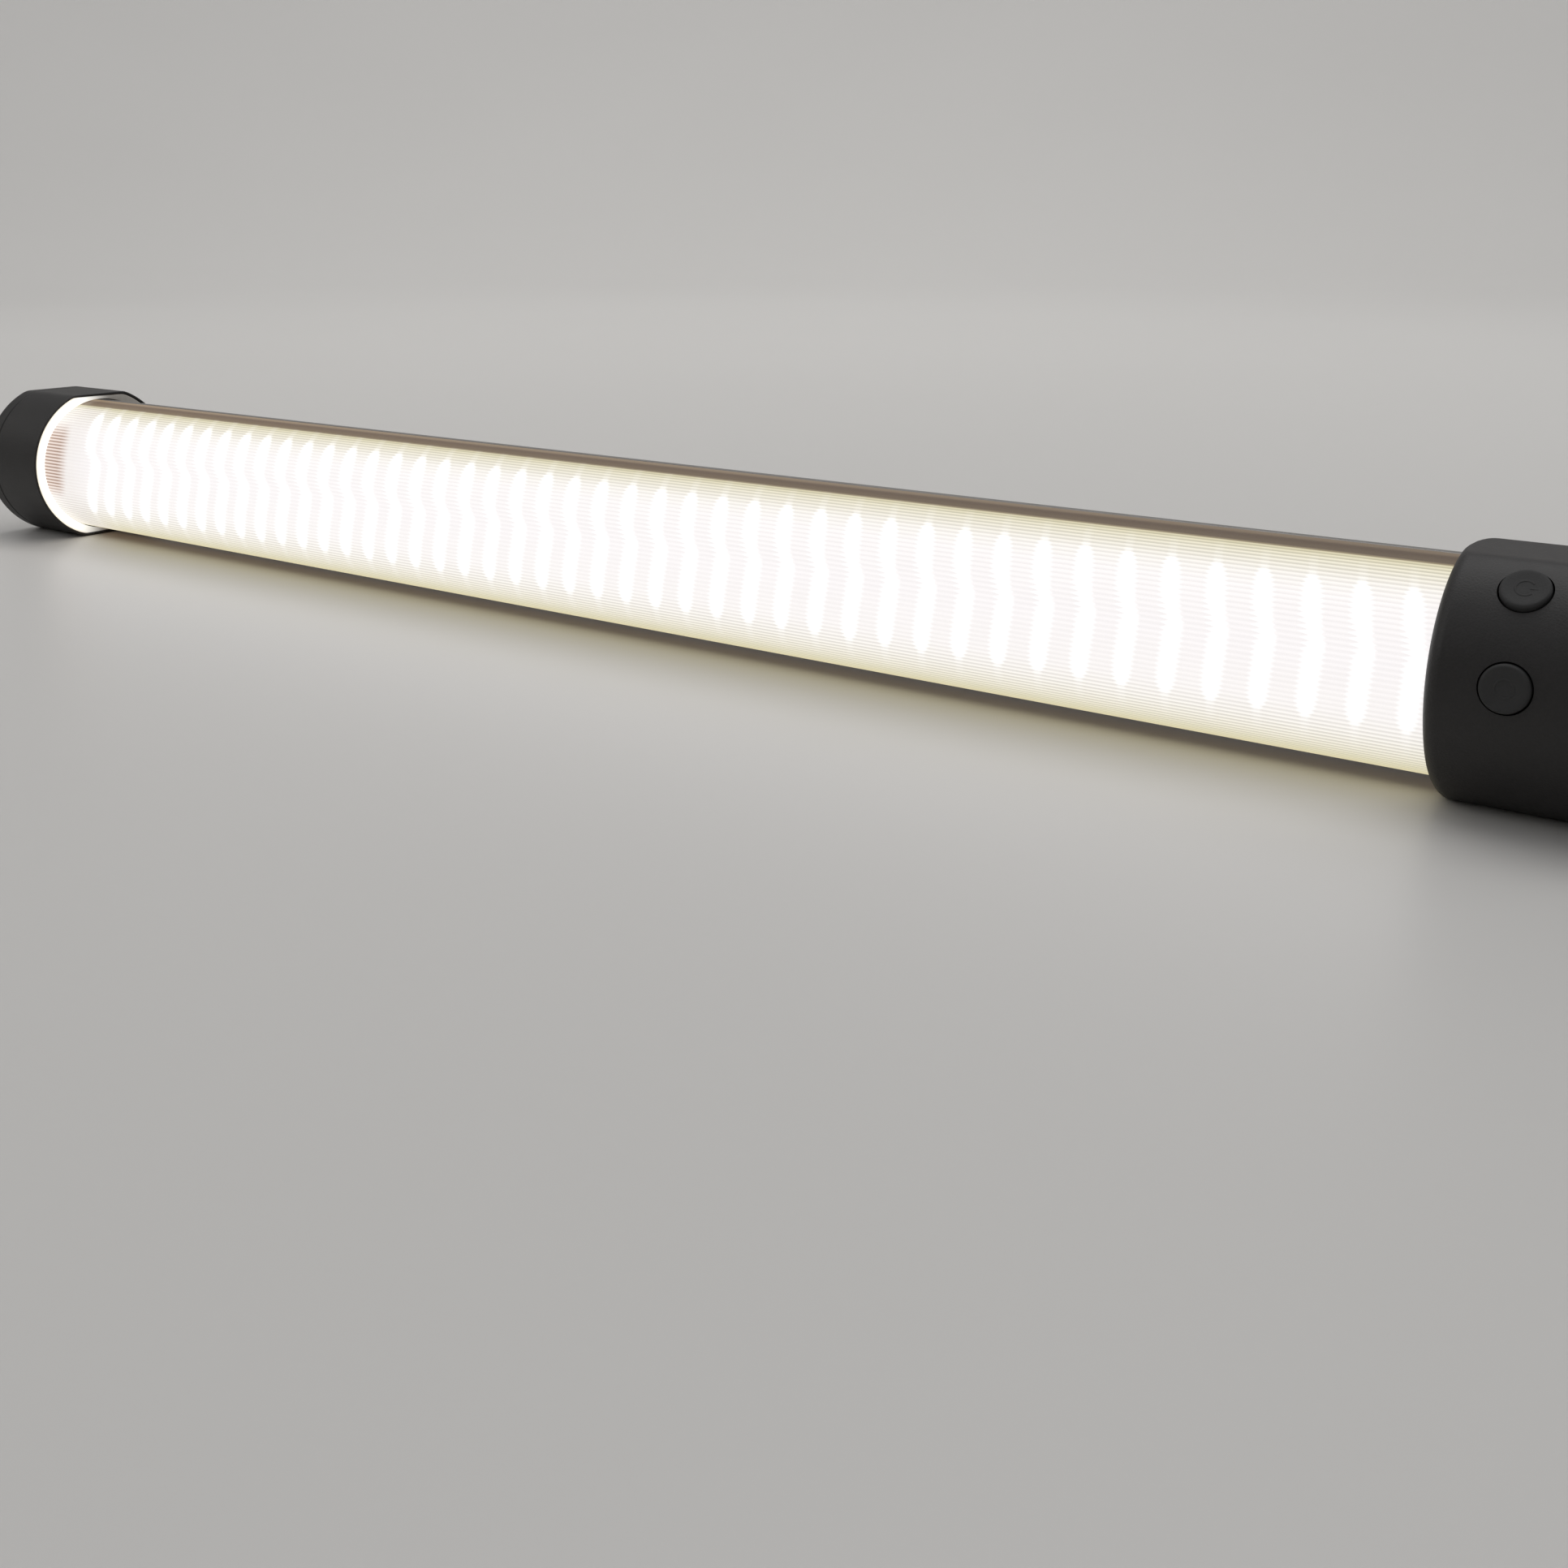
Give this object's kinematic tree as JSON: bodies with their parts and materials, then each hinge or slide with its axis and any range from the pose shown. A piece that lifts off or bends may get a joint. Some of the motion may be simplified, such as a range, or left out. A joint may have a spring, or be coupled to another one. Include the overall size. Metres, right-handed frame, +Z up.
{
  "type": "led light tube",
  "caption": "Hand-held LED light tube: half-round ribbed diffuser over LED rows, aluminium back with batteries inside, flat-sided end caps, push buttons, tripod socket.",
  "frame": {"origin": "on the resting surface, under the tube's axis, midway between the two end faces", "axes": "+X along the tube towards the control cap, the light faces -Y, +Z up"},
  "size_m": [0.534, 0.0529, 0.0484],
  "materials": {
    "satin_aluminium": "satin anodised, warm grey",
    "frosted_diffuser": "frosted white polycarbonate, ribbed along its length, lit from inside",
    "black_plastic": "fine matte texture, black",
    "grey_plastic": "moulded, dark grey",
    "white_board": "white solder mask over an aluminium core",
    "green_board": "green solder mask over glass epoxy",
    "led_phosphor": "LED packages with yellow phosphor windows",
    "white_silicone": "translucent white silicone",
    "black_rubber": "matte black",
    "cell_sleeve": null,
    "nickel": "plain nickel strip",
    "steel": "plated steel",
    "brass": "turned brass",
    "foam": "dark closed-cell foam",
    "chip_epoxy": "moulded epoxy",
    "ferrite": "sintered ferrite",
    "capacitor_sleeve": "dark blue shrink sleeve over an aluminium can",
    "red_wire": "red wire sleeve",
    "cable_grey": "grey flat cable",
    "cream_plastic": "cream nylon connector",
    "clear_plastic": "clear light pipe"
  },
  "bodies": {
    "light_tube": {"battery_cell_1": "cell_sleeve", "battery_cell_2": "cell_sleeve", "battery_cell_3": "cell_sleeve", "battery_cell_4": "cell_sleeve", "battery_cradle": "black_plastic", "battery_lead_minus": "black_plastic", "battery_lead_plus": "red_wire", "battery_pad_far": "foam", "battery_pad_near": "foam", "charge_board": "green_board", "charge_indicator": "clear_plastic", "charger_chip": "chip_epoxy", "control_cable": "cable_grey", "control_cap": "black_plastic", "controller_chip": "chip_epoxy", "diffuser": "frosted_diffuser", "driver_board": "green_board", "driver_capacitor_lower": "capacitor_sleeve", "driver_capacitor_upper": "capacitor_sleeve", "driver_inductor": "ferrite", "driver_pad_far": "foam", "driver_pad_near": "foam", "far_cap": "black_plastic", "far_cap_screw_lower": "steel", "far_cap_screw_upper": "steel", "far_seal_ring": "white_silicone", "led_board": "white_board", "led_connector": "cream_plastic", "led_lead_minus": "black_plastic", "led_lead_plus": "red_wire", "led_row_lower": "led_phosphor", "led_row_upper": "led_phosphor", "mode_switch": "grey_plastic", "near_cap_screw_lower": "steel", "near_cap_screw_upper": "steel", "nickel_tab_1": "nickel", "nickel_tab_2": "nickel", "nickel_tab_3": "nickel", "nickel_tab_4": "nickel", "nickel_tab_5": "nickel", "power_stage_chip": "chip_epoxy", "power_switch": "grey_plastic", "rear_housing": "satin_aluminium", "switch_carrier": "grey_plastic", "tripod_insert": "brass", "usb_c_socket": "steel", "usb_c_tongue": "chip_epoxy"},
    "power_button": {"power_button": "black_rubber"},
    "mode_button": {"mode_button": "black_rubber"}
  },
  "joints": [
    {"name": "power_button_press", "type": "slide", "parent": "light_tube", "child": "power_button", "axis": [0, 0.6428, -0.766], "range_m": [0, 0.0006], "stiffness_N_per_m": 800},
    {"name": "mode_button_press", "type": "slide", "parent": "light_tube", "child": "mode_button", "axis": [0, 0.9903, -0.1392], "range_m": [0, 0.0006], "stiffness_N_per_m": 800}
  ]
}
